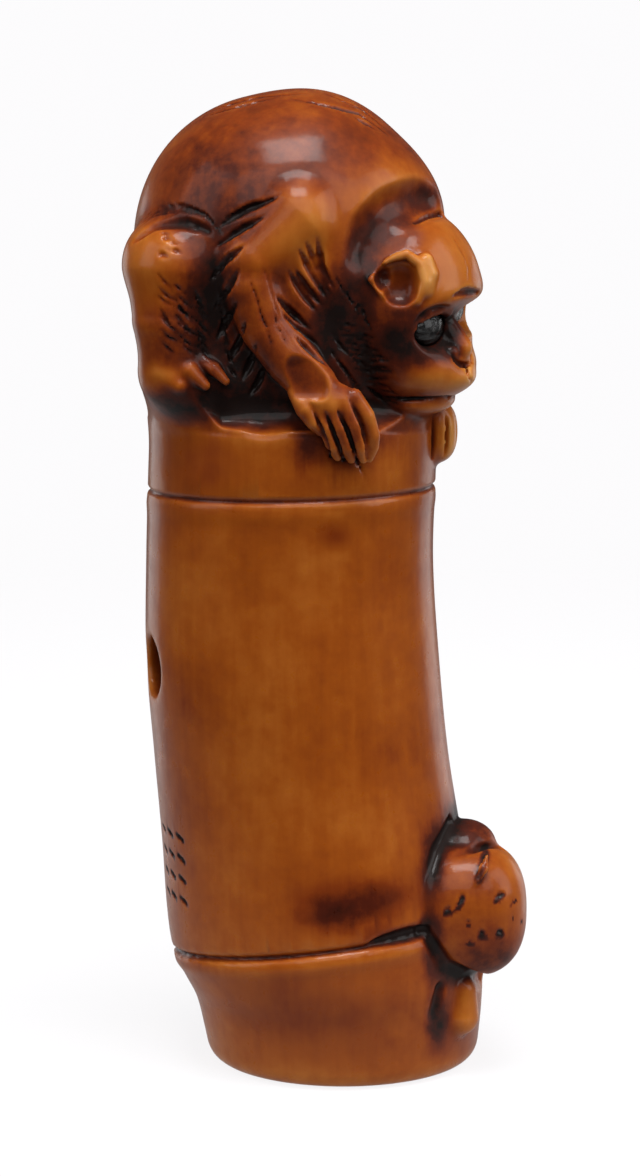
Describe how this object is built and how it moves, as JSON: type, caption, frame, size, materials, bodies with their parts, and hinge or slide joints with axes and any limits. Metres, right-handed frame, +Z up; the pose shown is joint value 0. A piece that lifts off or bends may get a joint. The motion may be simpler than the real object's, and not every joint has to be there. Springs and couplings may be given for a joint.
{
  "type": "netsuke",
  "caption": "Small upright carving: a monkey crouches on a bamboo section, a spotted animal clings low on its side; a cord channel runs through.",
  "frame": {"origin": "centre of the flat underside of the bamboo section", "axes": "+Z up along the bamboo, +X the way the monkey's body points, -Y the side that its face is turned to"},
  "size_m": [0.024, 0.0185, 0.059],
  "materials": {
    "stained_carving": "polished and stained honey brown, dark in the recesses",
    "inlaid_eye": "glossy black inlay, slightly rough"
  },
  "bodies": {
    "root": {"netsuke": "stained_carving", "eye_right": "inlaid_eye", "eye_left": "inlaid_eye"}
  },
  "joints": []
}
